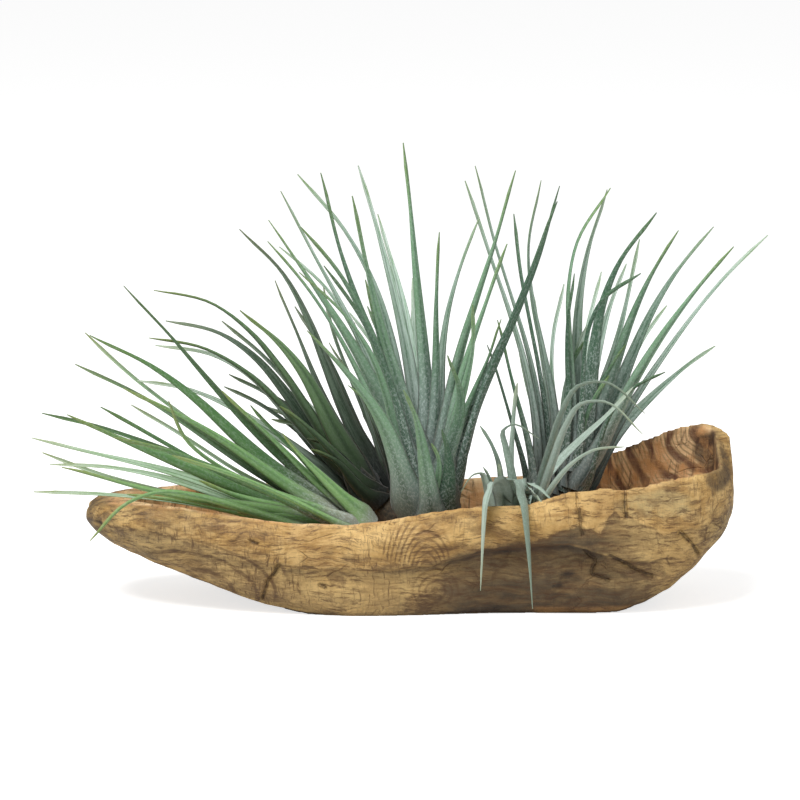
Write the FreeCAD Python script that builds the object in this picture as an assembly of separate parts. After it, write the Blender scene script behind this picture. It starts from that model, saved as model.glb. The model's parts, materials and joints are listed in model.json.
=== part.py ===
import FreeCAD, Part
import math
import os

from FreeCAD import Vector

# The bowl is hollowed out of one teak root: a low rounded prow on the left and a high blunt end on the right.
# The origin is the middle of its length, on the flat that it stands on. +X runs to the high end, -Y is the front.
bowl_length = 453.0
bowl_depth = 138.0
bowl_height = 116.0
wall = 11.0
floor_thickness = 28.0
prow_lip = 36.0
rim_round = 3.0
overrun = 40.0
spans_between_rows = 2
wall_chords = 6
band_chords = 3

# One row per section of the outside, from the prow to the high end:
# place along the bowl, half depth, underside, foot, back rim, front rim, lower edge of the front band, its overhang.
# The first is a share of the length, the second of half the depth, the foot of the half depth there, the fourth to
# the seventh of the height, and the overhang a share of the wall.
section_shares = (
    (-0.500, 0.20, 0.50, 0.55, 0.57, 0.56, 0.53, 0.05),
    (-0.482, 0.40, 0.44, 0.50, 0.59, 0.60, 0.51, 0.10),
    (-0.440, 0.60, 0.36, 0.45, 0.60, 0.63, 0.48, 0.15),
    (-0.350, 0.82, 0.22, 0.42, 0.60, 0.63, 0.42, 0.20),
    (-0.220, 0.96, 0.03, 0.50, 0.60, 0.57, 0.33, 0.30),
    (-0.090, 1.00, -0.08, 0.62, 0.59, 0.56, 0.30, 0.35),
    (0.030, 1.00, -0.08, 0.62, 0.60, 0.64, 0.34, 0.60),
    (0.110, 1.00, -0.08, 0.60, 0.62, 0.69, 0.43, 0.85),
    (0.180, 1.00, -0.08, 0.59, 0.64, 0.69, 0.46, 0.95),
    (0.240, 0.99, -0.08, 0.57, 0.68, 0.77, 0.46, 0.85),
    (0.320, 0.95, -0.04, 0.50, 0.80, 0.79, 0.36, 0.55),
    (0.400, 0.86, 0.13, 0.42, 0.94, 0.83, 0.38, 0.30),
    (0.460, 0.70, 0.36, 0.38, 1.00, 0.84, 0.46, 0.15),
    (0.488, 0.52, 0.48, 0.40, 0.99, 0.80, 0.56, 0.10),
    (0.500, 0.36, 0.60, 0.45, 0.95, 0.77, 0.66, 0.05),
)
foot_rise_share = 0.16
foot_flare_share = 0.86
belly_rise_share = 0.55
back_rim_share = 0.95
front_rim_share = 0.96
band_bulge_share = 0.03

# One row per section of the hollow, between its two ends:
# place along the hollow, half depth, floor. Shares of the hollow's length, of its half depth and of the bowl's height.
hollow_shares = (
    (0.000, 0.30, 0.43),
    (0.035, 0.56, 0.36),
    (0.110, 0.76, 0.27),
    (0.220, 0.91, 0.0),
    (0.450, 1.00, 0.0),
    (0.700, 1.00, 0.0),
    (0.860, 0.95, 0.0),
    (0.940, 0.80, 0.29),
    (0.980, 0.62, 0.38),
    (1.000, 0.42, 0.47),
)
hollow_floor_share = 0.80
hollow_belly_share = 0.97

# The plants. Each is a rosette on a short cone of a stem, and each leaf is a folded strip that tapers to a point.
leaf_thickness = 1.2
leaf_tip_width = 0.9
leaf_tip_share = 0.4
fold_share = 0.42
foot_width_share = 0.60
widest_share = 0.16
taper_power = 0.62
blade_twist = 38.0
stem_tip_radius = 2.6
layer_pitch = 1.6
layer_rise = 4.0
wrap_share = 0.9
stem_sides = 16
root_stub = 10.0
stem_clearance = 0.3
seat_clearance = 0.3
station_shares = (0.0, 0.07, 0.16, 0.30, 0.46, 0.62, 0.80, 1.0)

# One row per leaf: lean from the plant's axis, anticlockwise seen from the front; tilt towards the front;
# length as a share of the plant's leaf length; further turn of the tip, anticlockwise; width as a share.
left_leaf_shares = (
    (-22, -9, 0.97, 0, 0.80),
    (-14, 2, 0.95, 14, 1.00),
    (-10, -18, 1.00, -9, 0.30),
    (-11, 10, 0.81, 7, 0.70),
    (-7, -6, 0.94, 7, 0.60),
    (-7, 16, 0.86, -5, 0.40),
    (-4, 22, 0.82, 10, 0.30),
    (-6, 25, 0.66, 8, 0.30),
    (-1, 6, 0.90, -4, 1.00),
    (5, -15, 1.00, 12, 0.60),
    (7, -4, 0.97, 3, 0.70),
    (7, 12, 0.88, -3, 0.80),
    (11, -13, 0.96, -8, 0.40),
    (12, -10, 0.92, 13, 0.65),
    (15, 0, 0.93, 8, 0.50),
    (9, 13, 0.38, 10, 0.80),
    (-16, 20, 0.73, -43, 0.30),
    (-24, 8, 0.59, 0, 0.50),
    (-30, 13, 0.40, 0, 0.80),
)
fanned_leaf_shares = (
    (3, 2, 1.00, 42, 0.60),
    (-7, 6, 0.80, 18, 1.00),
    (-15, -8, 0.80, -5, 0.55),
    (-13, -14, 0.99, 24, 0.80),
    (7, -6, 0.91, 36, 0.70),
    (10, 2, 0.92, 34, 0.60),
    (13, -12, 0.90, 34, 0.60),
    (19, -3, 0.88, 24, 0.60),
    (1, 12, 0.52, 10, 0.60),
    (5, 16, 0.37, 15, 0.60),
    (1, -18, 0.81, 10, 0.40),
    (-21, -4, 0.57, 15, 0.40),
    (-24, -14, 0.73, -8, 0.40),
    (-27, 2, 0.36, 20, 0.90),
    (-13, -36, 0.80, 10, 0.80),
    (12, -32, 0.75, 20, 0.80),
    (-28, -34, 0.66, -5, 0.70),
    (2, -37, 0.60, 10, 0.80),
)
bulb_leaf_shares = (
    (-2, 2, 1.00, 3, 0.60),
    (-7, 6, 0.79, 0, 0.50),
    (-14, -3, 0.81, -14, 0.55),
    (-18, 6, 0.96, -4, 0.60),
    (-19, 9, 0.79, -7, 0.50),
    (-14, 20, 0.68, 13, 0.55),
    (-9, 27, 0.58, 25, 0.80),
    (-8, 33, 0.39, 20, 0.90),
    (-25, 3, 0.94, 8, 0.80),
    (-25, 8, 0.92, 0, 0.30),
    (20, 3, 0.91, 6, 1.00),
    (21, 10, 0.89, 12, 0.40),
    (22, -12, 0.83, 26, 0.50),
    (17, -3, 0.95, 2, 0.50),
    (18, 18, 0.83, 24, 0.50),
    (14, -6, 0.97, 24, 0.50),
    (15, 14, 0.91, 20, 0.60),
    (13, 25, 0.88, 17, 0.40),
    (10, 6, 0.98, -7, 0.50),
    (6, 16, 0.96, -5, 0.55),
    (5, -4, 0.95, 7, 0.60),
    (21, 27, 0.75, 14, 0.95),
    (4, -20, 0.84, 6, 0.80),
    (-1, -30, 0.70, -4, 0.80),
    (4, 36, 0.56, 14, 0.80),
)
right_leaf_shares = (
    (21, -2, 0.97, -22, 0.60),
    (33, -3, 1.00, 4, 0.50),
    (31, -9, 1.03, 0, 0.40),
    (26, -17, 0.89, -6, 0.30),
    (10, 3, 0.97, -34, 0.50),
    (10, -4, 0.95, -14, 0.95),
    (11, -14, 0.83, -12, 0.50),
    (2, 6, 0.94, -27, 0.80),
    (2, 12, 0.79, -50, 0.30),
    (15, 5, 0.73, -6, 0.50),
    (16, -20, 0.69, -17, 0.30),
    (3, -12, 0.76, -10, 0.80),
    (1, -19, 0.85, 4, 0.60),
    (-3, 2, 0.90, -11, 0.90),
    (-9, -4, 0.94, -14, 0.90),
    (-12, 7, 0.94, -11, 0.80),
    (-18, -8, 1.00, -11, 0.45),
    (-14, 10, 0.55, -36, 0.30),
    (39, -3, 0.55, -4, 0.40),
    (34, 4, 0.62, -4, 0.50),
    (6, -34, 0.80, -6, 0.80),
    (-12, -32, 0.76, -14, 0.80),
    (24, -30, 0.72, 4, 0.70),
    (-26, -22, 0.70, -18, 0.70),
)
curly_leaf_shares = (
    (-43, 4, 1.00, -92, 0.90),
    (-45, 14, 0.96, -92, 0.80),
    (-38, -11, 1.05, -4, 0.70),
    (-42, 24, 0.92, -48, 0.60),
    (-3, 2, 0.88, -6, 0.50),
    (-14, 10, 0.64, -106, 0.70),
    (34, 18, 0.44, 112, 0.90),
    (12, -5, 0.66, 24, 0.60),
    (15, 8, 0.48, 12, 0.60),
)
# Leaves that hang over the front rim: place of the tip beside the foot, its drop below the rim, the pull along the
# axis at the foot and upwards at the tip, all as shares of the leaf length, and the width.
left_hanging_shares = (
    (-0.74, 0.04, 0.34, 0.24, 0.60),
)
curly_hanging_shares = (
    (-0.13, 0.40, 1.00, 0.58, 0.80),
    (0.11, 0.50, 1.02, 0.62, 1.00),
)
handle_share = 0.36
curled_handle_share = 0.62
curled_from = 60.0
hang_reach_share = 0.25
hang_gap = 14.0

# One row per plant: name, place of its foot along and across the bowl as shares of the length and the half depth,
# bearing of its axis, leaf length, leaf width, leaves, leaves that hang over the rim.
plant_shares = (
    ("left_plant", -0.062, -0.20, 157.0, 255.0, 19.0, left_leaf_shares, left_hanging_shares),
    ("fanned_plant", -0.012, 0.42, 133.0, 242.0, 21.0, fanned_leaf_shares, ()),
    ("bulb_plant", 0.045, -0.12, 97.0, 285.0, 25.0, bulb_leaf_shares, ()),
    ("right_plant", 0.232, 0.30, 72.0, 256.0, 20.0, right_leaf_shares, ()),
    ("curly_plant", 0.150, -0.47, 90.0, 139.0, 11.0, curly_leaf_shares, curly_hanging_shares),
)
leaf_groups = ("inner_leaves", "middle_leaves", "outer_leaves")


def between(rows):
    """The rows of a table with smooth rows put in between them."""
    padded = [rows[0], *rows, rows[-1]]
    filled = []
    for a, b, c, d in zip(padded, padded[1:], padded[2:], padded[3:]):
        for step in range(spans_between_rows):
            t = step / spans_between_rows
            filled.append([
                (2 * q + (r - p) * t + (2 * p - 5 * q + 4 * r - s) * t * t + (3 * q - p - 3 * r + s) * t ** 3) / 2
                for p, q, r, s in zip(a, b, c, d)
            ])
    return filled + [list(rows[-1])]


def chords(points, count):
    """Points that cut a smooth curve through the given ones into even chords."""
    curve = Part.BSplineCurve()
    curve.interpolate(points)
    return curve.toShape().discretize(count + 1)


def closed(points):
    """A closed wire of straight edges."""
    return Part.makePolygon([*points, points[0]])


def bowl_section(row):
    """The outside of the bowl at one place along it."""
    along, depth, under, foot, back, front, band, overhang = row
    x = along * bowl_length
    half = depth * bowl_depth / 2
    low = under * bowl_height
    back_z = back * bowl_height
    front_z = front * bowl_height
    band_z = band * bowl_height
    step = overhang * wall
    foot_y = foot * half
    back_y = back_rim_share * half
    front_y = -front_rim_share * half

    back_wall = chords([
        Vector(x, foot_y, low),
        Vector(x, foot_flare_share * half, low + foot_rise_share * (back_z - low)),
        Vector(x, half, low + belly_rise_share * (back_z - low)),
        Vector(x, back_y, back_z - rim_round),
    ], wall_chords)
    rim = [Vector(x, back_y - rim_round, back_z), Vector(x, front_y + rim_round, front_z)]
    band_face = chords([
        Vector(x, front_y, front_z - rim_round),
        Vector(x, -half * (1 + band_bulge_share), (front_z + band_z) / 2),
        Vector(x, -half, band_z),
    ], band_chords)
    recess = chords([
        Vector(x, step - half, band_z - step / 2),
        Vector(x, (step - half) * foot_flare_share, low + foot_rise_share * (band_z - low)),
        Vector(x, -foot_y, low),
    ], band_chords)
    return closed(back_wall + rim + band_face + recess)


def hollow_section(row):
    """The hollow at one place along it, open above the rim."""
    along, depth, floor = row
    start = -bowl_length / 2 + prow_lip
    x = start + along * (bowl_length / 2 - wall - start)
    half = depth * (bowl_depth / 2 - wall)
    low = max(floor * bowl_height, floor_thickness)
    floor_y = hollow_floor_share * half
    belly_z = low + (bowl_height - low) / 3
    side = chords([
        Vector(x, floor_y, low),
        Vector(x, hollow_belly_share * half, belly_z),
        Vector(x, half, bowl_height + overrun),
    ], wall_chords)
    other_side = [Vector(point.x, -point.y, point.z) for point in reversed(side)]
    return closed(side + other_side)


def make_bowl():
    """The root: hewn in flats from section to section, hollowed from above and sawn flat below."""
    outside = Part.makeLoft([bowl_section(row) for row in between(section_shares)], True, True)
    hollow = Part.makeLoft([hollow_section(row) for row in between(hollow_shares)], True, True)
    ground = Part.makeBox(bowl_length + 2 * overrun, bowl_depth + 2 * overrun, overrun,
                          Vector(-bowl_length / 2 - overrun, -bowl_depth / 2 - overrun, -overrun))
    return outside.cut(hollow).cut(ground)


def heading(bearing, tilt=0.0):
    """The direction at a bearing in the front view, tilted towards the front."""
    turn = math.radians(bearing)
    lean = math.radians(tilt)
    return Vector(math.cos(turn) * math.cos(lean), -math.sin(lean), math.sin(turn) * math.cos(lean))


def bezier(points, share):
    """A point of a cubic curve and the direction of the curve there."""
    a, b, c, d = points
    rest = 1 - share
    place = a * rest ** 3 + b * (3 * rest * rest * share) + c * (3 * rest * share * share) + d * share ** 3
    way = (b - a) * (rest * rest) + (c - b) * (2 * rest * share) + (d - c) * (share * share)
    return place, way.normalize()


def paneled(rings):
    """A solid of flat panels between rings of points, closed by its first and last ring.

    The panels' diagonals start at every other point of a ring, so those of the two faces of a thin twisted blade run
    side by side and the faces stay apart.
    """
    panels = [Part.Face(closed(ring)) for ring in (rings[0][::-1], rings[-1])]
    for ring, following in zip(rings, rings[1:]):
        for i in range(len(ring)):
            j = (i + 1) % len(ring)
            if i % 2:
                halves = (ring[i], ring[j], following[i]), (ring[j], following[j], following[i])
            else:
                halves = (ring[i], ring[j], following[j]), (ring[i], following[j], following[i])
            panels += [Part.Face(closed(corners)) for corners in halves]
    return Part.Solid(Part.makeShell(panels))


def leaf_width_at(share, width):
    """Width of a leaf at a share of its length: a narrower foot, the widest place, then a taper to the tip."""
    swell = min(1.0, foot_width_share + (1 - foot_width_share) * share / widest_share)
    past = max(0.0, (share - widest_share) / (1 - widest_share))
    return max(width * swell * (1 - past ** taper_power), leaf_tip_width)


def make_leaf(course, side, width, radius):
    """One leaf: folded sections set along its midrib and joined by flat panels.

    The fold opens towards the stem. At the foot it is no deeper than the stem's own round, and further up the blade
    turns one of its faces to the front.
    """
    rings = []
    facing = 0
    for share in station_shares:
        place, way = bezier(course, share)
        side = (side - way * side.dot(way)).normalize()
        flat = way.cross(side)
        front = Vector(0, -1, 0)
        front = (front - way * front.dot(way)).normalize()
        facing = facing or math.copysign(1, front.dot(flat))
        grown = min(1.0, share / widest_share)
        turn = math.radians(blade_twist) * grown
        inward = (flat * math.cos(turn) + front * (facing * math.sin(turn))).normalize()
        across = inward.cross(way)
        half = leaf_width_at(share, width) / 2
        fold = half * (fold_share * grown + half / (2 * radius) * (1 - grown))
        thick = leaf_thickness / 2 * (1 - (1 - leaf_tip_share) * share)
        rings.append((place + across * half + inward * fold, place - inward * thick,
                      place - across * half + inward * fold, place + inward * thick))
    return paneled(rings)


class Plant:
    """A rosette: its leaves stand in layers round a cone, the steepest ones innermost."""

    def __init__(self, along, across, bearing, leaf_length, leaf_width, leaves, hanging):
        self.bearing = bearing
        self.axis = heading(bearing)
        self.leaf_length = leaf_length
        self.leaf_width = leaf_width
        self.leaves = [dict(zip(("lean", "tilt", "length", "turn", "width"), row)) for row in leaves]
        self.leaves += [dict(zip(("aside", "drop", "rise", "fall", "width"), row)) for row in hanging]
        for leaf in self.leaves:
            if "drop" in leaf:
                leaf["way"] = (self.axis + Vector(leaf["aside"], -1, 0)).normalize()
            else:
                leaf["way"] = heading(bearing + leaf["lean"], leaf["tilt"])
            leaf["off"] = leaf["way"].getAngle(self.axis)
            leaf["out"] = (leaf["way"] - self.axis * leaf["way"].dot(self.axis)).normalize()
        self.leaves.sort(key=lambda leaf: leaf["off"])
        self.settle_layers()
        self.base_radius = self.stem_radius(self.layers)
        flat = math.sqrt(1 - self.axis.z ** 2)
        self.foot = Vector(along * bowl_length, across * bowl_depth / 2,
                           floor_thickness + seat_clearance + self.base_radius * flat + root_stub * self.axis.z)

    def layer_radius(self, layer):
        """Distance of a layer's leaves from the axis."""
        return stem_tip_radius + layer * layer_pitch

    def settle_layers(self):
        """Each leaf lies on the innermost layer where no steeper leaf is in its way."""
        self.layers = 1
        for i, leaf in enumerate(self.leaves):
            leaf["layer"] = 1
            for other in self.leaves[:i]:
                radius = self.layer_radius(other["layer"])
                room = (leaf["width"] + other["width"]) * self.leaf_width / 2 / radius
                if leaf["out"].getAngle(other["out"]) < room * wrap_share:
                    leaf["layer"] = max(leaf["layer"], other["layer"] + 1)
            self.layers = max(self.layers, leaf["layer"])

    def stem_radius(self, layer):
        """Radius of the stem under a layer, clear of the flats of the leaves that wrap it there."""
        radius = self.layer_radius(layer)
        widest = max(leaf["width"] for leaf in self.leaves if leaf["layer"] == layer)
        flat = widest * self.leaf_width * foot_width_share / 4
        dip = radius - math.sqrt(radius ** 2 - flat ** 2)
        return radius - dip - leaf_thickness / 2 - stem_clearance

    def stem(self):
        """The stem: a stub of root, and a cone whose point stands between the innermost leaves."""
        out = self.axis.cross(Vector(0, 1, 0))
        steps = [(-root_stub, self.base_radius)]
        for layer in range(self.layers, 0, -1):
            steps.append(((self.layers - layer) * layer_rise, self.stem_radius(layer)))
        steps.append((self.layers * layer_rise, stem_tip_radius / 2))
        rings = []
        for height, radius in steps:
            rings.append([
                self.foot + self.axis * height
                + (out * math.cos(turn) + Vector(0, 1, 0) * math.sin(turn)) * radius
                for turn in (2 * math.pi * side / stem_sides for side in range(stem_sides))
            ])
        return paneled(rings)

    def course(self, leaf):
        """The four control points of a leaf's midrib."""
        radius = self.layer_radius(leaf["layer"])
        start = self.foot + self.axis * ((self.layers - leaf["layer"]) * layer_rise) + leaf["out"] * radius
        if "drop" in leaf:
            along = start.x + leaf["aside"] * self.leaf_length
            tip = Vector(along, -bowl_depth / 2 - hang_gap,
                         front_rim_height(along) - leaf["drop"] * self.leaf_length)
            reach = Vector(tip.x - start.x, tip.y - start.y, 0) * hang_reach_share
            rise = self.axis * (leaf["rise"] * self.leaf_length)
            fall = Vector(0, 0, leaf["fall"] * self.leaf_length)
            return start, start + reach + rise, tip - reach + fall, tip
        length = leaf["length"] * self.leaf_length
        curled = abs(leaf["turn"]) > curled_from
        handle = length * (curled_handle_share if curled else handle_share)
        tip = self.foot + leaf["way"] * length
        last = heading(self.bearing + leaf["lean"] + leaf["turn"], leaf["tilt"])
        first = (self.axis + leaf["way"]).normalize()
        return start, start + first * handle, tip - last * handle, tip

    def leaf(self, leaf):
        """The solid of one leaf."""
        side = self.axis.cross(leaf["out"]).normalize()
        return make_leaf(self.course(leaf), side, leaf["width"] * self.leaf_width,
                         self.layer_radius(leaf["layer"]))

    def groups(self):
        """The leaves as three groups of solids, from the innermost layers out."""
        sets = [[] for name in leaf_groups]
        for i, leaf in enumerate(self.leaves):
            sets[i * len(sets) // len(self.leaves)].append(self.leaf(leaf))
        return [Part.makeCompound(solids) for solids in sets]


def front_rim_height(x):
    """Height of the front rim at a place along the bowl."""
    rows = [(row[0] * bowl_length, row[5] * bowl_height) for row in section_shares]
    for (x0, z0), (x1, z1) in zip(rows, rows[1:]):
        if x0 <= x <= x1:
            return z0 + (z1 - z0) * (x - x0) / (x1 - x0)
    return rows[-1][1]


def main():
    os.makedirs("parts", exist_ok=True)
    nodes = {"bowl": make_bowl()}
    for name, along, across, bearing, length, width, leaves, hanging in plant_shares:
        plant = Plant(along, across, bearing, length, width, leaves, hanging)
        nodes[name + "_stem"] = plant.stem()
        for group, shape in zip(leaf_groups, plant.groups()):
            nodes[name + "_" + group] = shape
    for name, shape in nodes.items():
        shape.exportStep("parts/" + name + ".step")
        print(name, len(shape.Solids), "solids, valid", shape.isValid())


main()
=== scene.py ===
"""Looks of the air plant holder: a bowl hewn from a teak root with five loose air plants in it.

Lengths are in metres unless a name or comment says otherwise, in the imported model's frame: +X runs to the high
end of the bowl, -Y is the front and +Z is up.
"""

import json
import logging
import math
from dataclasses import dataclass
from enum import Enum
from typing import Iterable, Sequence

import bmesh
import bpy
import numpy as np
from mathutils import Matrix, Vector


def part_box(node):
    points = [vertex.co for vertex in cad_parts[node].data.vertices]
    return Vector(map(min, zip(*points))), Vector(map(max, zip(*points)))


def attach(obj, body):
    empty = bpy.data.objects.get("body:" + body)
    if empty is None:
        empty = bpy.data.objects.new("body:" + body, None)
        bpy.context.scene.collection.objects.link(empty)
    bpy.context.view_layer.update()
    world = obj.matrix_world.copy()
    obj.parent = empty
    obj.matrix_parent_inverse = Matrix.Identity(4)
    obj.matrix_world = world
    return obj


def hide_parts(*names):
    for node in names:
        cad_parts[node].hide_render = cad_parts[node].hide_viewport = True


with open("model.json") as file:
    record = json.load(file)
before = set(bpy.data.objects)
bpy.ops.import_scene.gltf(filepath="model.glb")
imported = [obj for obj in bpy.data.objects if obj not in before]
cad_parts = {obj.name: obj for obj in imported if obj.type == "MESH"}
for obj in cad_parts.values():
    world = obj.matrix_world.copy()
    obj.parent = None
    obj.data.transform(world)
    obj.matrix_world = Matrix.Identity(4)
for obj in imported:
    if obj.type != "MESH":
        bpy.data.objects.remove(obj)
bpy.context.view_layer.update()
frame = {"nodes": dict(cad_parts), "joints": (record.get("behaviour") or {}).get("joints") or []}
MM = 0.001
MERGE_WITHIN = 0.001 * MM
TINY = 1e-12

log = logging.getLogger("air_plant_holder")

Number = float | int
Colour = tuple[float, float, float]
Triple = tuple[float, float, float]
Span = tuple[float, float]


def srgb(red: int, green: int, blue: int) -> Colour:
    """Linear colour of the sRGB levels that an eye reads off a surface.

    Args:
        red: Red, from 0 to 255.
        green: Green, likewise.
        blue: Blue, likewise.

    Returns:
        The colour.
    """
    levels = []
    for level in (red, green, blue):
        share = level / 255
        levels.append(share / 12.92 if share <= 0.04045 else ((share + 0.055) / 1.055) ** 2.4)
    return levels[0], levels[1], levels[2]


class Wire:
    """A value in a node tree. Python's operators on it add Math nodes, or Vector Math nodes for vectors."""

    def __init__(self, tree: "Tree", socket: bpy.types.NodeSocket) -> None:
        """Wraps one output socket.

        Args:
            tree: The tree that the socket's node is in.
            socket: The output socket.
        """
        self.tree = tree
        self.socket = socket

    @property
    def is_vector(self) -> bool:
        """Whether the value is a vector or a colour."""
        return self.socket.type in {"VECTOR", "RGBA"}

    def _with(self, operation: str, first: "Wire | Number", second: "Wire | Number") -> "Wire":
        """One Math or Vector Math node.

        Args:
            operation: The node's operation.
            first: Its first value.
            second: Its second value.

        Returns:
            The result.
        """
        vectors = [isinstance(value, Wire) and value.is_vector for value in (first, second)]
        if not any(vectors):
            return self.tree.node("ShaderNodeMath", {0: first, 1: second}, operation=operation)
        if operation == "MULTIPLY" and not all(vectors):
            vector, factor = (first, second) if vectors[0] else (second, first)
            return self.tree.node("ShaderNodeVectorMath", {0: vector, "Scale": factor}, operation="SCALE")
        pair = [(value,) * 3 if isinstance(value, (int, float)) else value for value in (first, second)]
        return self.tree.node("ShaderNodeVectorMath", dict(enumerate(pair)), operation=operation)

    def __add__(self, other: "Wire | Number") -> "Wire":
        """Sum."""
        return self._with("ADD", self, other)

    __radd__ = __add__

    def __sub__(self, other: "Wire | Number") -> "Wire":
        """Difference."""
        return self._with("SUBTRACT", self, other)

    def __rsub__(self, other: "Wire | Number") -> "Wire":
        """Difference, from a number."""
        return self._with("SUBTRACT", other, self)

    def __mul__(self, other: "Wire | Number") -> "Wire":
        """Product, which scales a vector."""
        return self._with("MULTIPLY", self, other)

    __rmul__ = __mul__

    def __truediv__(self, other: "Wire | Number") -> "Wire":
        """Quotient."""
        return self._with("DIVIDE", self, other)

    def maths(self, operation: str) -> "Wire":
        """One Math node with a single value, such as SINE or ABSOLUTE."""
        return self.tree.node("ShaderNodeMath", {0: self}, operation=operation)

    def between(self, low: Number, high: Number) -> "Wire":
        """0 below low and 1 above high, with a smooth step. A low above high turns the step round.

        Args:
            low: Where the step starts.
            high: Where it ends.

        Returns:
            The step's height.
        """
        inputs = {"Value": self, "From Min": low, "From Max": high}
        return self.tree.node("ShaderNodeMapRange", inputs, interpolation_type="SMOOTHSTEP")

    def part(self, axis: str) -> "Wire":
        """One component of a vector, X, Y or Z."""
        return self.tree.node("ShaderNodeSeparateXYZ", {0: self}, axis)


class Tree:
    """A node tree under construction. One method makes its nodes, whatever their type."""

    def __init__(self, tree: bpy.types.NodeTree) -> None:
        """Takes over an empty tree."""
        self.tree = tree

    def node(
        self, kind: str, inputs: dict | None = None, out: str | int = 0, **settings: str | bool
    ) -> Wire | None:
        """Adds a node.

        Args:
            kind: The node's type.
            inputs: Values or wires of its sockets, by name or place.
            out: The output that is returned.
            settings: Its properties, which are set before its sockets.

        Returns:
            The output as a wire, or None where the node has no output.
        """
        node = self.tree.nodes.new(kind)
        for name, value in settings.items():
            setattr(node, name, value)
        for name, value in (inputs or {}).items():
            socket = node.inputs[name]
            if isinstance(value, Wire):
                self.tree.links.new(value.socket, socket)
            elif socket.type == "RGBA" and len(value) == 3:
                socket.default_value = (*value, 1.0)
            else:
                socket.default_value = value
        return Wire(self, node.outputs[out]) if len(node.outputs) else None

    def mix(self, first: Wire | Colour, second: Wire | Colour, share: Wire | Number) -> Wire:
        """The colour between two others, the first at a share of 0 and the second at a share of 1."""
        inputs = {0: share, 6: first, 7: second}
        return self.node("ShaderNodeMix", inputs, 2, data_type="RGBA", clamp_factor=True)

    def noise(self, place: Wire, scale: Number, detail: Number = 3.0, roughness: Number = 0.55) -> Wire:
        """Smooth noise about 0.5, at a place, with its scale in cycles to a metre."""
        inputs = {"Vector": place, "Scale": scale, "Detail": detail, "Roughness": roughness}
        return self.node("ShaderNodeTexNoise", inputs)

    def stretched(self, place: Wire, scale: Triple, turn: float = 0.0) -> Wire:
        """A place scaled apart along each axis, and turned about Y by an angle in radians."""
        inputs = {"Vector": place, "Scale": scale, "Rotation": (0.0, turn, 0.0)}
        return self.node("ShaderNodeMapping", inputs)

    def streaks(
        self, place: Wire, scale: Triple, turn: float, detail: Number, roughness: Number
    ) -> Wire:
        """Noise about 0.5 on a stretched place, so that it becomes streaks."""
        return self.noise(self.stretched(place, scale, turn), 1.0, detail, roughness)

    def layered(self, colour: Wire | Colour, *layers: tuple[Wire | Colour, Wire]) -> Wire:
        """A colour with others laid over it in turn.

        Args:
            colour: The lowest colour.
            layers: Each colour over it, with its share.

        Returns:
            The colour that is seen.
        """
        for over, share in layers:
            colour = self.mix(colour, over, share)
        return colour

    def bump(self, height: Wire, strength: Number, distance: Number) -> Wire:
        """The normal of a surface with a fine relief."""
        inputs = {"Height": height, "Strength": strength, "Distance": distance}
        return self.node("ShaderNodeBump", inputs, "Normal")

    def attribute(self, name: str, out: str = "Fac") -> Wire:
        """A value stored on the mesh."""
        return self.node("ShaderNodeAttribute", {}, out, attribute_name=name)

    def place(self) -> Wire:
        """The place on the object, in metres."""
        return self.node("ShaderNodeTexCoord", {}, "Object")


def new_material(name: str) -> tuple[bpy.types.Material, Tree, bpy.types.Node]:
    """An empty material with one principled shader.

    Args:
        name: The material's name.

    Returns:
        The material, its tree and the shader's node.
    """
    material = bpy.data.materials.new(name)
    material.use_nodes = True
    nodes = material.node_tree.nodes
    return material, Tree(material.node_tree), nodes["Principled BSDF"]


def feed(tree: Tree, shader: bpy.types.Node, **inputs: Wire) -> None:
    """Links wires to a shader's sockets, with Base_Color for Base Color."""
    for name, wire in inputs.items():
        tree.tree.links.new(wire.socket, shader.inputs[name.replace("_", " ")])


class Noise:
    """Smooth seeded noise in space, from 0 to 1, worked out for many points at once."""

    LATTICE = 32
    LAYER_SHIFT = 7.3

    def __init__(self, seed: int) -> None:
        """Fills the lattice that the noise repeats over."""
        self.values = np.random.default_rng(seed).random((self.LATTICE,) * 3)

    def at(self, points: np.ndarray, size: float) -> np.ndarray:
        """The noise at points.

        Args:
            points: Places, one a row.
            size: Size of its spots.

        Returns:
            One value for each point.
        """
        scaled = points / size
        corner = np.floor(scaled).astype(int)
        ease = scaled - corner
        ease = ease * ease * (3 - 2 * ease)
        total = np.zeros(len(points))
        for step in np.ndindex(2, 2, 2):
            weight = np.prod(np.where(np.array(step) == 1, ease, 1 - ease), axis=1)
            index = (corner + np.array(step)) % self.LATTICE
            total += weight * self.values[index[:, 0], index[:, 1], index[:, 2]]
        return total

    def layers(self, points: np.ndarray, size: float, count: int) -> np.ndarray:
        """Layers of the noise, each half as large and half as strong as the last, from 0 to 1.

        Args:
            points: Places, one a row.
            size: Size of the largest spots.
            count: How many layers.

        Returns:
            One value for each point.
        """
        total = np.zeros(len(points))
        weight = 0.0
        for layer in range(count):
            share = 0.5 ** layer
            total += share * self.at(points + layer * self.LAYER_SHIFT, size * share)
            weight += share
        return total / weight


def smooth_step(low: float, high: float, values: np.ndarray) -> np.ndarray:
    """0 below low and 1 above high, with a smooth step."""
    share = np.clip((values - low) / (high - low), 0, 1)
    return share * share * (3 - 2 * share)


def unit(vectors: np.ndarray) -> np.ndarray:
    """Rows scaled to a length of 1."""
    return vectors / np.maximum(np.linalg.norm(vectors, axis=-1, keepdims=True), TINY)


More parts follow.
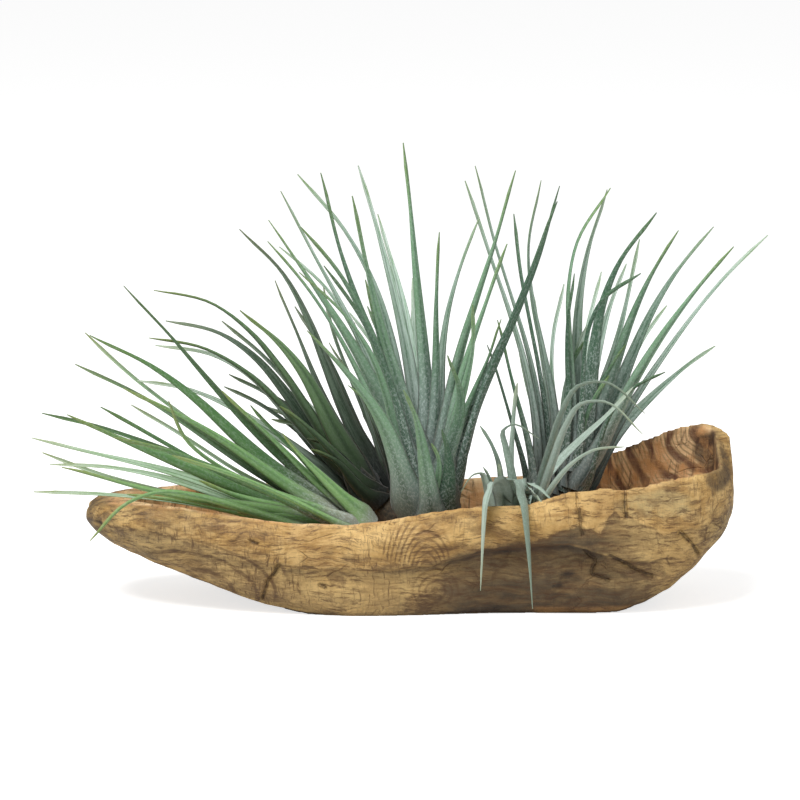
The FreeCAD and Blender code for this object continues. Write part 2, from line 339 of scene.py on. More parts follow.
def merged_points(node: str) -> tuple[np.ndarray, np.ndarray]:
    """A CAD node's corners, each once, and its triangles.

    Args:
        node: Name of the node.

    Returns:
        The corners, one a row, and three corners for each triangle.
    """
    mesh = frame["nodes"][node].data
    places = read_rows(mesh.vertices, "co")
    mesh.calc_loop_triangles()
    triangles = np.empty(len(mesh.loop_triangles) * 3, np.int32)
    mesh.loop_triangles.foreach_get("vertices", triangles)
    cells = np.round(places / MERGE_WITHIN).astype(int)
    _, first, index = np.unique(cells, axis=0, return_index=True, return_inverse=True)
    return places[first], index.reshape(-1)[triangles.reshape(-1, 3)]


def read_rows(items: bpy.types.bpy_prop_collection, field: str) -> np.ndarray:
    """A vector that each of a mesh's items has, one a row.

    Args:
        items: The items, such as the mesh's vertices.
        field: The field to read.

    Returns:
        The rows.
    """
    values = np.empty(len(items) * 3, np.float32)
    items.foreach_get(field, values)
    return values.reshape(-1, 3).astype(float)


def move_points(mesh: bpy.types.Mesh, points: np.ndarray) -> None:
    """Puts a mesh's points in new places."""
    mesh.vertices.foreach_set("co", points.astype(np.float32).ravel())
    mesh.update()


def link_mesh(name: str, mesh: bpy.types.Mesh) -> bpy.types.Object:
    """A new object of the scene that shows a mesh.

    Args:
        name: Its name.
        mesh: The mesh.

    Returns:
        The object.
    """
    piece = bpy.data.objects.new(name, mesh)
    bpy.context.scene.collection.objects.link(piece)
    return piece


def plain_mesh(source: bpy.types.Object) -> bpy.types.Mesh:
    """The mesh that an object's modifiers give, which stays when the object goes.

    Args:
        source: The object, which is removed.

    Returns:
        Its mesh with the modifiers applied.
    """
    mesh = bpy.data.meshes.new_from_object(source.evaluated_get(bpy.context.evaluated_depsgraph_get()))
    bpy.data.objects.remove(source)
    return mesh


def fine_copy(node: str, voxel: float) -> bpy.types.Mesh:
    """A CAD node's solid rebuilt in small even faces.

    Args:
        node: Name of the node.
        voxel: Size of the faces.

    Returns:
        The fine mesh.
    """
    corners, triangles = merged_points(node)
    mesh = bpy.data.meshes.new(node + "_corners")
    mesh.from_pydata(corners.tolist(), [], triangles.tolist())
    source = link_mesh(mesh.name, mesh)
    modifier = source.modifiers.new("fine", "REMESH")
    modifier.mode = "VOXEL"
    modifier.voxel_size = voxel
    return plain_mesh(source)


def dress(name: str, mesh: bpy.types.Mesh, material: bpy.types.Material) -> bpy.types.Object:
    """A smooth piece of one material.

    Args:
        name: Its name.
        mesh: The mesh.
        material: Its material.

    Returns:
        The piece.
    """
    mesh.polygons.foreach_set("use_smooth", [True] * len(mesh.polygons))
    mesh.materials.clear()
    mesh.materials.append(material)
    return link_mesh(name, mesh)


def store(mesh: bpy.types.Mesh, name: str, values: np.ndarray) -> None:
    """Stores one number, or one vector, for each point of a mesh.

    Args:
        mesh: The mesh.
        name: The attribute's name.
        values: One value, or one vector, for each point.
    """
    if values.ndim == 1:
        mesh.attributes.new(name, "FLOAT", "POINT").data.foreach_set("value", values.astype(np.float32))
    else:
        attribute = mesh.attributes.new(name, "FLOAT_VECTOR", "POINT")
        attribute.data.foreach_set("vector", values.astype(np.float32).ravel())


def finish_piece(piece: bpy.types.Object, body: str, nodes: Iterable[str]) -> None:
    """Puts a piece on its body and lets it stand for CAD nodes.

    Args:
        piece: The piece.
        body: The body that it moves with.
        nodes: The CAD nodes that it stands for.
    """
    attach(piece, body)
    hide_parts(*nodes)
    log.info("%s: %d faces on %s", piece.name, len(piece.data.polygons), body)


@dataclass(frozen=True)
class View:
    """The photograph's view, as a long lens gives it."""

    mm_to_pixel: float = 0.7
    elevation_deg: float = 11.0
    middle_pixel_x: float = 409.5
    ground_pixel_y: float = 598.0
    picture_pixels: int = 800
    lens_mm: float = 180.0
    sensor_mm: float = 36.0

    def aim(self) -> Vector:
        """The point in the middle of the picture, over the bowl's long axis.

        Returns:
            The point, in metres.
        """
        half = self.picture_pixels / 2
        along = (half - self.middle_pixel_x) * self.mm_to_pixel
        up = (self.ground_pixel_y - half) * self.mm_to_pixel / math.cos(math.radians(self.elevation_deg))
        return Vector((along, 0, up)) * MM

    def make(self) -> None:
        """Adds the camera and makes it the scene's."""
        data = bpy.data.cameras.new("camera")
        data.lens = self.lens_mm
        data.sensor_width = self.sensor_mm
        data.sensor_height = self.sensor_mm
        camera = bpy.data.objects.new("camera", data)
        bpy.context.scene.collection.objects.link(camera)
        turn = math.radians(self.elevation_deg)
        back = Vector((0, -math.cos(turn), math.sin(turn)))
        distance = self.picture_pixels * self.mm_to_pixel * MM * self.lens_mm / self.sensor_mm
        camera.location = self.aim() + back * distance
        camera.rotation_mode = "QUATERNION"
        camera.rotation_quaternion = (-back).to_track_quat("-Z", "Y")
        data.clip_end = 20 * distance
        bpy.context.scene.camera = camera


@dataclass(frozen=True)
class Studio:
    """A plain pale floor and soft studio light."""

    floor_size: float = 12.0
    floor_colour: Colour = (0.8, 0.8, 0.8)
    floor_glow: float = 0.70
    floor_seen: float = 0.80
    world_level: float = 0.30
    key_watts: float = 42.0
    key_size: float = 1.0
    key_place: Triple = (-0.6, -0.8, 1.9)
    fill_watts: float = 4.5
    fill_place: Triple = (1.3, -1.1, 0.7)

    def _floor(self) -> None:
        """The floor, whose own glow is seen by the camera only, so that it is pale and keeps the shadow."""
        mesh = bpy.data.meshes.new("floor")
        half = self.floor_size / 2
        corners = [(-half, -half, 0), (half, -half, 0), (half, half, 0), (-half, half, 0)]
        mesh.from_pydata(corners, [], [(0, 1, 2, 3)])
        floor = link_mesh("floor", mesh)
        material = bpy.data.materials.new("floor")
        material.use_nodes = True
        nodes = material.node_tree.nodes
        nodes.clear()
        tree = Tree(material.node_tree)
        diffuse = tree.node("ShaderNodeBsdfDiffuse", {"Color": self.floor_colour})
        glow = tree.node("ShaderNodeEmission", {"Color": (1.0, 1.0, 1.0), "Strength": self.floor_glow})
        dim = tree.node("ShaderNodeBsdfDiffuse", {"Color": (self.floor_seen,) * 3})
        seen = tree.node("ShaderNodeAddShader", {0: glow, 1: dim})
        path = tree.node("ShaderNodeLightPath", {}, "Is Camera Ray")
        both = tree.node("ShaderNodeMixShader", {0: path, 1: diffuse, 2: seen})
        tree.node("ShaderNodeOutputMaterial", {0: both})
        mesh.materials.append(material)

    def _lamp(self, name: str, watts: float, size: float, place: Triple) -> None:
        """A square soft lamp that faces the plants.

        Args:
            name: Its name.
            watts: Its power.
            size: Length of its side.
            place: Where it hangs.
        """
        data = bpy.data.lights.new(name, "AREA")
        data.energy = watts
        data.size = size
        lamp = bpy.data.objects.new(name, data)
        bpy.context.scene.collection.objects.link(lamp)
        lamp.location = place
        lamp.rotation_mode = "QUATERNION"
        lamp.rotation_quaternion = (View().aim() - Vector(place)).to_track_quat("-Z", "Y")

    def _world(self) -> None:
        """Even light from all round, white where the camera looks past the floor."""
        world = bpy.data.worlds.new("studio")
        bpy.context.scene.world = world
        world.use_nodes = True
        world.node_tree.nodes.clear()
        tree = Tree(world.node_tree)
        path = tree.node("ShaderNodeLightPath", {}, "Is Camera Ray")
        level = path * (1 - self.world_level) + self.world_level
        glow = tree.node("ShaderNodeBackground", {"Color": (1.0, 1.0, 1.0), "Strength": level})
        tree.node("ShaderNodeOutputWorld", {0: glow})

    def make(self) -> None:
        """Builds the floor, the lamps and the world."""
        self._floor()
        self._world()
        self._lamp("key", self.key_watts, self.key_size, self.key_place)
        self._lamp("fill", self.fill_watts, self.key_size, self.fill_place)
        bpy.context.scene.view_settings.view_transform = "Standard"


@dataclass(frozen=True)
class Grain:
    """Patterns of the wood that its colours share: its places, bent places and noises about 0.5."""

    place: Wire
    warp: Wire
    warped: Wire
    broad: Wire
    mottle: Wire
    speck: Wire
    streak: Wire
    hatch: Wire
    stain: Wire
    scratch: Wire
    combed: Wire
    WARP_REACH = 0.016

    @classmethod
    def laid(cls, tree: Tree) -> "Grain":
        """Lays the patterns out in a material's tree.

        Args:
            tree: The material's tree.

        Returns:
            The patterns.
        """
        place = tree.place()
        inputs = {"Vector": place, "Scale": 22.0, "Detail": 4.0}
        warp = tree.node("ShaderNodeTexNoise", inputs, "Color") - 0.5
        warped = place + warp * cls.WARP_REACH
        return cls(
            place,
            warp,
            warped,
            broad=tree.noise(place, 13.0),
            mottle=tree.noise(warped, 55.0, 6.0, 0.65),
            speck=tree.noise(warped, 420.0, 3.0, 0.7),
            streak=tree.streaks(warped, (22.0, 90.0, 190.0), 0.12, 6.0, 0.7),
            hatch=tree.streaks(warped, (420.0, 120.0, 34.0), 0.15, 4.0, 0.65),
            stain=tree.streaks(warped, (16.0, 30.0, 42.0), 0.2, 8.0, 0.72),
            scratch=tree.streaks(warped, (70.0, 200.0, 520.0), -0.1, 5.0, 0.75),
            combed=tree.streaks(warped, (620.0, 200.0, 70.0), 0.25, 4.0, 0.7),
        )


@dataclass(frozen=True)
class Rings:
    """Growth rings round a middle: their count to a metre, stretch along each axis and thinness."""

    middle: Triple
    count: float
    stretch: Triple
    thin: float
    UNEVENNESS = 1.2

    def lines(self, tree: Tree, place: Wire) -> Wire:
        """The rings' dark lines.

        Args:
            tree: The material's tree.
            place: The place, bent a little so that the rings aren't round.

        Returns:
            1 on a line and 0 between two.
        """
        laid = {0: place - self.middle, 1: self.stretch}
        laid = {0: tree.node("ShaderNodeVectorMath", laid, operation="MULTIPLY")}
        away = tree.node("ShaderNodeVectorMath", laid, "Value", operation="LENGTH")
        uneven = away * self.count + tree.noise(place, 26.0, 2.0) * self.UNEVENNESS
        return ((uneven * (2 * math.pi)).maths("SINE") * 0.5 + 0.5).between(self.thin, 1.0)


@dataclass(frozen=True)
class TeakFinish:
    """Hewn teak root: a golden band along the rim, dull tan below it with painted shade in its recess, and
    red-brown heartwood inside.
    """

    honey: Colour = srgb(226, 188, 122)
    gold: Colour = srgb(188, 148, 84)
    amber: Colour = srgb(150, 108, 54)
    tan: Colour = srgb(180, 148, 92)
    sand: Colour = srgb(204, 172, 112)
    umber: Colour = srgb(116, 88, 54)
    brown: Colour = srgb(88, 58, 28)
    dark: Colour = srgb(44, 30, 22)
    shade: Colour = srgb(88, 74, 54)
    shade_dark: Colour = srgb(54, 43, 32)
    lichen: Colour = srgb(178, 160, 112)
    rust: Colour = srgb(150, 112, 66)
    inner: Colour = srgb(224, 170, 114)
    inner_light: Colour = srgb(248, 210, 158)
    inner_dark: Colour = srgb(104, 66, 48)
    roughness: float = 0.56
    bump: float = 0.0016
    edge_half: float = 0.0022
    edge_wander: float = 0.014
    crack_wander: float = 0.007
    front_warp: float = 0.005
    heart_warp: float = 0.012
    arch: Rings = Rings((0.012, -0.064, 0.034), 340.0, (1.0, 0.3, 0.55), 0.35)
    arcs: Rings = Rings((-0.163, -0.046, 0.010), 84.0, (0.8, 0.3, 1.25), 0.78)
    burl: Rings = Rings((0.018, -0.055, 0.019), 230.0, (1.0, 0.3, 1.0), 0.45)
    heart: Rings = Rings((0.214, 0.050, 0.112), 62.0, (1.0, 0.4, 1.0), 0.5)
    heart_fine: Rings = Rings((0.214, 0.050, 0.112), 330.0, (1.0, 0.4, 1.0), 0.4)

    def make(self) -> bpy.types.Material:
        """Builds the material.

        Returns:
            The material, which reads the masks that the bowl stores on its mesh.
        """
        material, tree, shader = new_material("teak_root")
        wood = Grain.laid(tree)
        mottle, streak = wood.mottle, wood.streak
        # The lower front's mask holds weathering and painted shade in the recess under the band together.
        weather_and_shade, inside = tree.attribute("weather_and_shade"), tree.attribute("inside")
        edge = tree.attribute("band_side") + (mottle - 0.5) * self.edge_wander
        # A painted shadow line just below the band's lower edge, where the band overhangs the recess.
        under = edge.between(-0.0032, -0.0004) * edge.between(0.0006, -0.0004) * tree.attribute("ledge")
        crack = (tree.attribute("crack_side") + (mottle - 0.5) * self.crack_wander).maths("ABSOLUTE")
        cut = crack.between(0.0014, 0.0002) * tree.attribute("crack_share")
        checks = self._checks(tree, wood)
        rings = self._front_rings(tree, wood)
        heart, heart_rings = self._heart_colour(tree, wood)
        colour = tree.layered(
            self._lower_colour(tree, wood),
            (self._band_colour(tree, wood), edge.between(-self.edge_half, self.edge_half)),
            (self.brown, rings * 0.75),
            # Painted shadow under the band's edge.
            (self.brown, under * streak.between(0.38, 0.6) * 0.8),
            (self.brown, wood.stain.between(0.5, 0.62) * 0.6),
            (self.brown, wood.scratch.between(0.51, 0.62) * wood.broad.between(0.3, 0.55) * 0.8),
            (self.honey, wood.scratch.between(0.48, 0.36) * (0.5 - 0.5 * weather_and_shade)),
            (self.brown, wood.combed.between(0.53, 0.64) * wood.broad.between(0.58, 0.4) * 0.75),
            (self.shade_dark, tree.attribute("end_shade") * wood.stain.between(0.35, 0.6) * 0.75),
            (heart, inside),
            (self.dark, cut * streak.between(0.4, 0.6) * 0.6),
            (self.brown, checks * 0.55),
            # Painted shade in grooves and nicks, together with the dark knot and the darker ground edge and prow
            # end.
            (self.dark, tree.attribute("dark_marks_and_crease_shade") * mottle.between(0.2, 0.55) * 0.8),
            (self.honey, tree.attribute("worn") * mottle.between(0.35, 0.6) * 0.6),
            (self.dark, wood.speck.between(0.64, 0.74) * 0.4),
        )
        relief = streak * 0.5 + wood.scratch * 0.6 + wood.combed * 0.5 + wood.hatch * 0.45 + mottle * 0.6
        relief += wood.speck * 0.12 - rings * 0.3 - cut * 1.4 - checks * 0.5 - heart_rings * inside * 0.2
        feed(
            tree,
            shader,
            Base_Color=colour,
            Roughness=self.roughness + 0.3 * (mottle - 0.5) + 0.15 * weather_and_shade,
            Normal=tree.bump(relief, 0.7, self.bump),
        )
        return material

    def _band_colour(self, tree: Tree, wood: Grain) -> Wire:
        """Golden wood under the rim, with a pale grey-green patch near the high end.

        Args:
            tree: The material's tree.
            wood: Its patterns.

        Returns:
            The band's colour.
        """
        return tree.layered(
            self.gold,
            (self.honey, wood.mottle.between(0.42, 0.62)),
            (self.amber, wood.broad.between(0.5, 0.68) * 0.6),
            (self.amber, wood.streak.between(0.5, 0.66) * 0.55),
            (self.brown, wood.hatch.between(0.56, 0.7) * wood.broad.between(0.62, 0.42) * 0.6),
            (self.lichen, tree.attribute("lichen") * wood.mottle.between(0.3, 0.6) * 0.6),
        )

    def _lower_colour(self, tree: Tree, wood: Grain) -> Wire:
        """Tan wood below the band, weathered and with painted shade in the recess to the right, with a rusty
        strip along its foot.

        Args:
            tree: The material's tree.
            wood: Its patterns.

        Returns:
            The colour below the band.
        """
        shade = tree.layered(
            self.shade,
            (self.shade_dark, wood.mottle.between(0.38, 0.58)),
            (self.umber, wood.streak.between(0.45, 0.6) * 0.6),
        )
        return tree.layered(
            self.tan,
            (self.sand, wood.mottle.between(0.4, 0.62)),
            (self.umber, wood.streak.between(0.52, 0.68) * 0.55),
            (self.umber, wood.hatch.between(0.56, 0.7) * 0.5),
            (self.gold, wood.broad.between(0.5, 0.64) * 0.55),
            (self.umber, tree.noise(wood.place, 30.0, 5.0, 0.7).between(0.52, 0.6) * 0.6),
            # Painted shade, with weathering, in the recess under the band.
            (shade, tree.attribute("weather_and_shade") * (0.75 + 0.4 * wood.broad)),
            (self.rust, tree.attribute("sliver")),
        )

    def _front_rings(self, tree: Tree, wood: Grain) -> Wire:
        """Growth rings cut by the hewn front: arches on the band, arcs at the prow, a burl low down.

        Args:
            tree: The material's tree.
            wood: Its patterns.

        Returns:
            1 on a ring's dark line.
        """
        bent = wood.place + wood.warp * self.front_warp
        rings = self.arch.lines(tree, bent) * tree.attribute("arch") * 0.8
        rings += self.arcs.lines(tree, bent) * tree.attribute("arc") * 0.9
        burl = self.burl.lines(tree, bent) * tree.attribute("burl")
        return rings + burl * wood.broad.between(0.3, 0.55) * 0.6

    def _heart_colour(self, tree: Tree, wood: Grain) -> tuple[Wire, Wire]:
        """Red-brown wood of the hollow, with broad dark rings, and the rings by themselves.

        Args:
            tree: The material's tree.
            wood: Its patterns.

        Returns:
            The hollow's colour and the strength of its broad rings.
        """
        bent = wood.place + wood.warp * self.heart_warp
        near_end = wood.place.part("X").between(0.03, 0.15)
        fine = self.heart_fine.lines(tree, bent) * near_end * wood.mottle.between(0.42, 0.58)
        rings = self.heart.lines(tree, bent) * (near_end * 0.75 + 0.25) * wood.mottle.between(0.25, 0.55)
        colour = tree.layered(
            self.inner,
            (self.inner_light, wood.mottle.between(0.4, 0.62)),
            (self.brown, fine * 0.45),
            (self.inner_dark, rings * 0.85),
            (self.inner_dark, wood.hatch.between(0.52, 0.64) * 0.6),
            (self.inner_light, wood.streak.between(0.58, 0.7) * 0.5),
        )
        return colour, rings

    @staticmethod
    def _checks(tree: Tree, wood: Grain) -> Wire:
        """Short hairline checks here and there, from 0 to 1.

        Args:
            tree: The material's tree.
            wood: Its patterns.

        Returns:
            1 on a check.
        """
        inputs = {"Vector": tree.stretched(wood.warped, (1.0, 1.0, 2.2)), "Scale": 30.0}
        edge = tree.node("ShaderNodeTexVoronoi", inputs, "Distance", feature="DISTANCE_TO_EDGE")
        return edge.between(0.025, 0.004) * tree.noise(wood.place, 22.0, 2.0).between(0.56, 0.66)


@dataclass(frozen=True)
class Patch:
    """A soft oval on the bowl's front, in millimetres along the bowl and up, with its half sizes."""

    along: float
    up: float
    half_along: float
    half_up: float

    def mask(self, x: np.ndarray, z: np.ndarray, wander: np.ndarray) -> np.ndarray:
        """1 inside the oval and 0 outside, with an uneven soft edge."""
        away = np.hypot((x / MM - self.along) / self.half_along, (z / MM - self.up) / self.half_up)
        return smooth_step(1.25, 0.85, away + (wander - 0.5) * 0.8)


@dataclass(frozen=True)
class Ramp:
    """A smooth step from 0 at one value to 1 at another, which may be the lower one."""

    low: float
    high: float

    def of(self, values: np.ndarray) -> np.ndarray:
        """The step's height at values."""
        return smooth_step(self.low, self.high, values)


# Marks on the front, in millimetres along the bowl and up.
BAND_EDGE = (
    (-230, 62), (-165, 58), (-110, 42), (-92, 38), (-20, 36), (16, 40), (49, 52), (89, 56), (106, 63),
    (116, 68), (130, 62), (135, 71), (141, 76), (146, 71), (150, 74), (175, 58), (200, 60), (230, 74),
)
CRACKS = (
    ((-91, 38), (-93, 32), (-98, 26), (-102, 12)),
    ((138, 44), (155, 34), (167, 28)),
    ((120, 47), (128, 40), (126, 30), (138, 26)),
    ((115, 88), (117, 74), (119, 60)),
    ((148, 90), (148, 80), (149, 72)),
    ((-62, 24), (-58, 22)),
    ((-110, 55), (-105, 53)),
    ((186, 60), (196, 50), (200, 42)),
)
CRACK_REACH = 8.0
BAND_REACH = 30.0


def neighbour_mean(values: np.ndarray, ends: np.ndarray) -> np.ndarray:
    """The mean of each point's neighbours, along a mesh's edges.

    Args:
        values: One value for each point.
        ends: The two ends of each edge.

    Returns:
        One mean for each point.
    """
    count = np.bincount(ends.ravel(), minlength=len(values))
    near = np.bincount(ends[:, 0], values[ends[:, 1]], len(values))
    return (near + np.bincount(ends[:, 1], values[ends[:, 0]], len(values))) / count


def spread_out(values: np.ndarray, ends: np.ndarray, rounds: int = 3, share: float = 0.6) -> np.ndarray:
    """Values evened out among neighbours.

    Args:
        values: One value for each point.
        ends: The two ends of each edge.
        rounds: How often.
        share: How much of the mean.

    Returns:
        The evened values.
    """
    for _ in range(rounds):
        values = (1 - share) * values + share * neighbour_mean(values, ends)
    return values


def side_of(
    line: Sequence[Span], x: np.ndarray, z: np.ndarray
) -> tuple[np.ndarray, np.ndarray]:
    """Signed distance to a line of straight runs, and how far beyond its ends a point lies.

    Args:
        line: Its points.
        x: Places along the bowl, in the line's units.
        z: Heights, in the line's units.

    Returns:
        The distance, above zero on the left of the line's way, and the overshoot.
    """
    best = np.full(len(x), np.inf)
    signed = np.full(len(x), np.inf)
    beyond = np.zeros(len(x))
    for (x0, z0), (x1, z1) in zip(line, line[1:]):
        run = np.array([x1 - x0, z1 - z0], float)
        length = float(np.hypot(*run))
        run /= length
        along = (x - x0) * run[0] + (z - z0) * run[1]
        off = (z - z0) * run[0] - (x - x0) * run[1]
        over = np.maximum(np.maximum(-along, along - length), 0)
        away = np.hypot(over, off)
        closer = away < best
        best = np.where(closer, away, best)
        signed = np.where(closer, np.where(off < 0, -away, away), signed)
        beyond = np.where(closer, over, beyond)
    return signed, beyond


@dataclass
class Bowl:
    """The root bowl: the CAD solid in fine mesh, its flats smoothed, with the marks of tools and weathering, and
    painted shade.
    """

    voxel: float = 0.00165
    smoothing_rounds: int = 26
    smoothing: float = 0.5
    swelling: float = 1.04
    grain_stretch: Triple = (0.55, 1.0, 1.0)
    flat_size: float = 0.034
    flat_depth: float = 0.0016
    dent_size: float = 0.011
    dent_depth: float = 0.0007
    nick_size: float = 0.02
    nick_depth: float = 0.00225
    groove_mm: Ramp = Ramp(2.6, 0.2)
    groove_depth: float = 0.0022
    foot_height: float = 0.0006
    plain_below: float = 0.004
    marked_above: float = 0.010
    wander_size: float = 0.024
    wander_reach: float = 0.06
    wander_reach_start: float = 0.05
    back_band_share: float = 0.42
    seed: int = 11
    middle: Triple = (0.0, 0.0, 0.095)
    middle_from: float = -0.13
    middle_to: float = 0.15
    prow_reach: float = 0.2265
    # Ovals of marks on the front, in millimetres.
    knot: Patch = Patch(214.0, 98.0, 10.0, 13.0)
    lichen: Patch = Patch(172.0, 80.0, 26.0, 9.0)
    arch: Patch = Patch(8.0, 52.0, 24.0, 15.0)
    arcs: Patch = Patch(-132.0, 28.0, 46.0, 30.0)
    burl: Patch = Patch(18.0, 20.0, 17.0, 17.0)
    # Steps over the nicks' noise and over the normal's share towards a side.
    bitten: Ramp = Ramp(0.66, 0.8)
    facing_front: Ramp = Ramp(0.35, -0.1)
    facing_back: Ramp = Ramp(-0.2, 0.3)
    facing_down: Ramp = Ramp(0.2, -0.6)
    facing_middle: Ramp = Ramp(0.05, 0.3)
    # Steps over places along the bowl and heights, in metres.
    weather_shade_start: Ramp = Ramp(-0.004, 0.05)
    weather_shade_end: Ramp = Ramp(0.205, 0.15)
    sliver_height: Ramp = Ramp(0.0075, 0.0045)
    sliver_start: Ramp = Ramp(0.082, 0.09)
    sliver_end: Ramp = Ramp(0.158, 0.15)
    ground_darkening: Ramp = Ramp(0.0035, 0.0008)
    knot_from: float = 0.195
    prow_darkening: Ramp = Ramp(0.008, 0.003)
    prow_shade: Ramp = Ramp(-0.12, -0.215)
    high_end_shade: Ramp = Ramp(0.19, 0.232)
    low_shade: Ramp = Ramp(0.022, 0.002)
    above_band: Ramp = Ramp(-0.006, 0.0)
    # Steps over the overshoot of a crack's end, in millimetres, and over the bend, in radians to a metre.
    crack_fade_mm: Ramp = Ramp(1.5, 0.0)
    # The bend steps pick grooves for painted shade and convex edges for wear.
    groove_shade_bend: Ramp = Ramp(30, 120)
    edge_bend: Ramp = Ramp(50, 170)

    def _smoothed(self, points: np.ndarray, ends: np.ndarray) -> np.ndarray:
        """Points drawn to their neighbours and back again, so that edges soften and the form keeps its size.

        Args:
            points: The mesh's points.
            ends: The two ends of each edge.

        Returns:
            The smoothed points.
        """
        for _ in range(self.smoothing_rounds):
            for step in (self.smoothing, -self.smoothing * self.swelling):
                near = np.stack([neighbour_mean(column, ends) for column in points.T], axis=1)
                points = points + step * (near - points)
        return points

    def make(self) -> bpy.types.Object:
        """Builds the bowl and dresses it.

        Returns:
            The bowl's object.
        """
        mesh = fine_copy("bowl", self.voxel)
        ends = np.empty(len(mesh.edges) * 2, np.int32)
        mesh.edges.foreach_get("vertices", ends)
        ends = ends.reshape(-1, 2)
        sharp = read_rows(mesh.vertices, "co")
        points = self._smoothed(sharp, ends)
        move_points(mesh, points)
        normals = read_rows(mesh.vertex_normals, "vector")

        stretched = points * np.array(self.grain_stretch)
        flats = Noise(self.seed).layers(stretched, self.flat_size, 2) * 2 - 1
        dents = Noise(self.seed + 1).layers(points, self.dent_size, 2) * 2 - 1
        bite = self.bitten.of(Noise(self.seed + 2).layers(stretched, self.nick_size, 3))
        depth = self.flat_depth * flats + self.dent_depth * dents - self.nick_depth * bite
        for line in CRACKS:
            away = np.hypot(*side_of(line, points[:, 0] / MM, points[:, 2] / MM))
            depth -= self.groove_depth * self.groove_mm.of(away) * (normals[:, 1] < 0)
        marked = (points[:, 2] - self.plain_below) / (self.marked_above - self.plain_below)
        points = points + normals * (depth * np.clip(marked, 0, 1))[:, None]
        points = np.clip(points, *(np.array(corner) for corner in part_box("bowl")))
        points[sharp[:, 2] < self.foot_height, 2] = 0.0
        move_points(mesh, points)
        self._store_masks(mesh, points, read_rows(mesh.vertex_normals, "vector"), bite, ends)
        piece = dress("root_bowl", mesh, TeakFinish().make())
        finish_piece(piece, "bowl", ["bowl"])
        return piece

    def _store_masks(
        self,
        mesh: bpy.types.Mesh,
        points: np.ndarray,
        normals: np.ndarray,
        bite: np.ndarray,
        ends: np.ndarray,
    ) -> None:
        """Stores where the wood is inside, on the band, weathered and in painted shade, dark in its knot,
        grooves and nicks, along the ground and at its ends, worn, cracked and ringed.

        Args:
            mesh: The mesh.
            points: The mesh's points.
            normals: The surface's normal at each point.
            bite: How deep each point lies in a nick, from 0 to 1.
            ends: The two ends of each edge.
        """
        x, _, z = points.T
        wander = Noise(self.seed + 3).layers(points, self.wander_size, 3)
        inside = spread_out(self._inside(points, normals), ends)
        front = self.facing_front.of(normals[:, 1]) * (1 - inside)
        back = self.facing_back.of(normals[:, 1])
        band_side = np.clip(side_of(BAND_EDGE, x / MM, z / MM)[0], -BAND_REACH, BAND_REACH) * MM
        band_side = band_side * (1 - back) + (wander - self.back_band_share) * self.wander_reach * back
        # Painted shade in the recess under the band, with weathering, stronger on faces that look down.
        shade = self.weather_shade_start.of(x + (wander - 0.5) * self.wander_reach_start)
        shade *= self.weather_shade_end.of(x + z * 0.5 + (wander - 0.5) * self.wander_reach)
        shade *= front * (0.75 + 0.25 * self.facing_down.of(normals[:, 2]))
        sliver = front * self.sliver_height.of(z) * self.sliver_start.of(x) * self.sliver_end.of(x)
        bend = self._bend(points, normals, ends)
        # Painted shade in concave grooves and in nicks, darker wood along the ground and at the prow's end, and
        # the dark knot.
        dark_marks_and_crease_shade = self.groove_shade_bend.of(-bend) * 0.7 + self.ground_darkening.of(z) * (1 - sliver) + bite * 0.35
        dark_marks_and_crease_shade += self.knot.mask(x, z, wander) * (x > self.knot_from) * 0.95
        dark_marks_and_crease_shade += self.prow_darkening.of(np.abs(x + self.prow_reach)) * 0.6
        ends_shade = self.prow_shade.of(x) + self.high_end_shade.of(x) * 0.5 + self.low_shade.of(z) * 0.35
        crack_side = np.full(len(x), CRACK_REACH)
        crack_share = np.zeros(len(x))
        for line in CRACKS:
            side, beyond = side_of(line, x / MM, z / MM)
            closer = np.abs(side) < np.abs(crack_side)
            crack_side = np.where(closer, side, crack_side)
            crack_share = np.where(closer, self.crack_fade_mm.of(beyond), crack_share)
        masks = {
            "inside": inside,
            "band_side": band_side,
            "ledge": front,
            "weather_and_shade": np.clip(shade, 0, 1),
            "sliver": sliver,
            "dark_marks_and_crease_shade": np.clip(dark_marks_and_crease_shade, 0, 1),
            "end_shade": np.clip(ends_shade, 0, 1),
            "worn": self.edge_bend.of(bend) * (1 - inside),
            "crack_side": crack_side * MM,
            "crack_share": crack_share * front,
            "lichen": self.lichen.mask(x, z, wander) * front,
            "arch": self.arch.mask(x, z, wander) * front,
            "arc": self.arcs.mask(x, z, wander) * front * self.above_band.of(-band_side),
            "burl": self.burl.mask(x, z, wander) * front,
        }
        for name, values in masks.items():
            store(mesh, name, values)

    def _inside(self, points: np.ndarray, normals: np.ndarray) -> np.ndarray:
        """1 on the hollow's walls and 0 outside.

        Args:
            points: The mesh's points.
            normals: The surface's normal at each point.

        Returns:
            One value for each point.
        """
        centre = np.tile(self.middle, (len(points), 1))
        centre[:, 0] = np.clip(points[:, 0], self.middle_from, self.middle_to)
        return self.facing_middle.of(np.sum(unit(centre - points) * normals, axis=1))

    @staticmethod
    def _bend(points: np.ndarray, normals: np.ndarray, ends: np.ndarray) -> np.ndarray:
        """How sharply the surface bends at each point, above zero on edges and below it in grooves.

        Args:
            points: The mesh's points.
            normals: The surface's normal at each point.
            ends: The two ends of each edge.

        Returns:
            The bend, in radians to a metre.
        """
        laid = points[ends[:, 0]] - points[ends[:, 1]]
        bend = np.sum(laid * (normals[ends[:, 0]] - normals[ends[:, 1]]), axis=1)
        bend /= np.maximum(np.sum(laid * laid, axis=1), TINY)
        count = np.bincount(ends.ravel(), minlength=len(points))
        total = sum(np.bincount(ends[:, end], bend, len(points)) for end in (0, 1))
        return spread_out(total / count, ends)


class Face(Enum):
    """How much silver a plant's leaves carry."""

    GREEN = "green_leaf"
    DARK = "dark_leaf"
    SILVER_GREEN = "silver_green_leaf"
    SILVER = "silver_leaf"


